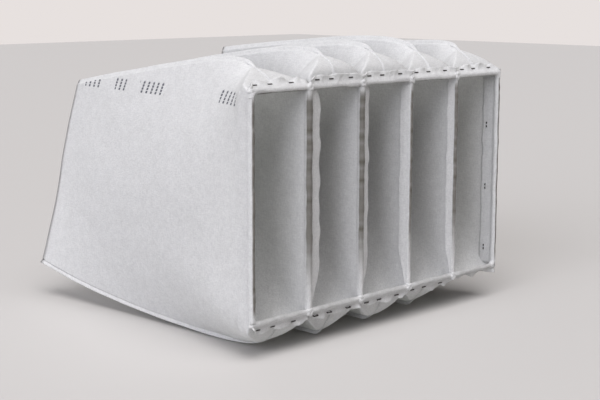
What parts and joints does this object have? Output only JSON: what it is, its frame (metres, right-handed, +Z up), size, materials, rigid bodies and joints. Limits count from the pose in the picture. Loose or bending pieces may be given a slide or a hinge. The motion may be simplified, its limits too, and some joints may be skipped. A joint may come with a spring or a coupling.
{
  "type": "bag air filter",
  "caption": "Bag air filter: a row of tapering nonwoven pockets hemmed over a wire frame at the mouth and stapled along the hem.",
  "frame": {"origin": "centre of the footprint of the bounding box, on the surface that the filter stands on", "axes": "+X across the row of pockets, left to right as seen from the mouth; +Y from the mouth to the back of the pockets; +Z up"},
  "size_m": [0.407, 0.401, 0.3186],
  "materials": {
    "fleece": "matte white nonwoven",
    "wire": "zinc plated",
    "staple": "dark"
  },
  "bodies": {
    "root": {"frame_wire": "wire", "divider_wire_1": "wire", "divider_wire_2": "wire", "divider_wire_3": "wire", "divider_wire_4": "wire", "pocket_1": "fleece", "pocket_2": "fleece", "pocket_3": "fleece", "pocket_4": "fleece", "pocket_5": "fleece", "top_staple_1": "staple", "top_staple_2": "staple", "top_staple_3": "staple", "top_staple_4": "staple", "top_staple_5": "staple", "top_staple_6": "staple", "top_staple_7": "staple", "top_staple_8": "staple", "top_staple_9": "staple", "top_staple_10": "staple", "top_staple_11": "staple", "top_staple_12": "staple", "top_staple_13": "staple", "top_staple_14": "staple", "top_staple_15": "staple", "bottom_staple_1": "staple", "bottom_staple_2": "staple", "bottom_staple_3": "staple", "bottom_staple_4": "staple", "bottom_staple_5": "staple", "bottom_staple_6": "staple", "bottom_staple_7": "staple", "bottom_staple_8": "staple", "bottom_staple_9": "staple", "bottom_staple_10": "staple", "bottom_staple_11": "staple", "bottom_staple_12": "staple", "bottom_staple_13": "staple", "bottom_staple_14": "staple", "bottom_staple_15": "staple", "side_staple_1": "staple", "side_staple_2": "staple", "side_staple_3": "staple"}
  },
  "joints": []
}
